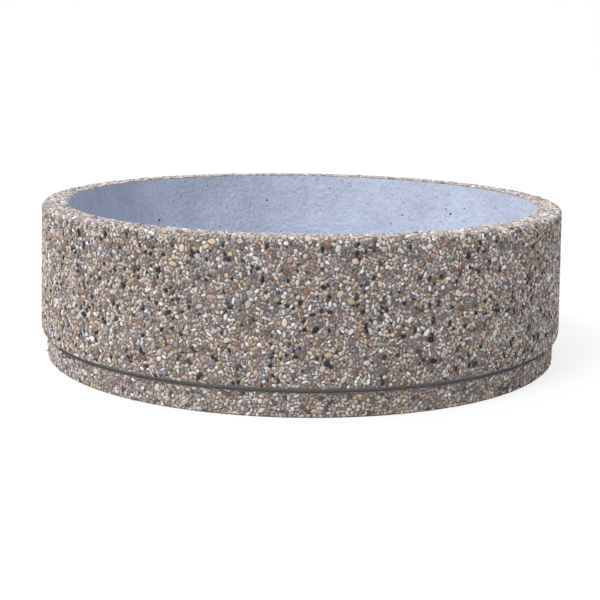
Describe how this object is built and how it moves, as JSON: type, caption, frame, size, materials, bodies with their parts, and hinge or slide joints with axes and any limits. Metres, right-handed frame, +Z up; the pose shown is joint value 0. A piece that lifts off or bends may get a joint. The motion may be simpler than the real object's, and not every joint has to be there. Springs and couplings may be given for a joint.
{
  "type": "concrete bowl planter",
  "caption": "Low, wide, round concrete planter with a pebble-faced outside and rim, smooth grey inside, recessed base joint, plinth and floor drains.",
  "frame": {"origin": "centre of the underside, on the ground", "axes": "+Z up along the planter's axis of revolution; the drain sleeves stand at 45 degrees to +X"},
  "size_m": [1.2, 1.2, 0.35],
  "materials": {
    "exposed_aggregate": "matte",
    "grey_concrete": "matte",
    "joint_mortar": "matte",
    "reinforcing_steel": "matte",
    "zinc_steel": "satin",
    "drain_plastic": "satin",
    "cap_plastic": "satin"
  },
  "bodies": {
    "root": {"plinth": "exposed_aggregate", "plinth_mesh": "reinforcing_steel", "mortar_bed": "joint_mortar", "bowl_core": "grey_concrete", "facing_wall": "exposed_aggregate", "wall_hoop_1": "reinforcing_steel", "wall_hoop_2": "reinforcing_steel", "wall_hoop_3": "reinforcing_steel", "wall_bar_1": "reinforcing_steel", "wall_bar_2": "reinforcing_steel", "wall_bar_3": "reinforcing_steel", "wall_bar_4": "reinforcing_steel", "wall_bar_5": "reinforcing_steel", "wall_bar_6": "reinforcing_steel", "wall_bar_7": "reinforcing_steel", "wall_bar_8": "reinforcing_steel", "wall_bar_9": "reinforcing_steel", "wall_bar_10": "reinforcing_steel", "wall_bar_11": "reinforcing_steel", "wall_bar_12": "reinforcing_steel", "floor_mesh": "reinforcing_steel", "drain_sleeve_1": "drain_plastic", "drain_sleeve_2": "drain_plastic", "drain_sleeve_3": "drain_plastic", "drain_sleeve_4": "drain_plastic", "lifting_socket_1": "zinc_steel", "socket_cap_1": "cap_plastic", "lifting_socket_2": "zinc_steel", "socket_cap_2": "cap_plastic", "lifting_socket_3": "zinc_steel", "socket_cap_3": "cap_plastic", "lifting_socket_4": "zinc_steel", "socket_cap_4": "cap_plastic"}
  },
  "joints": []
}
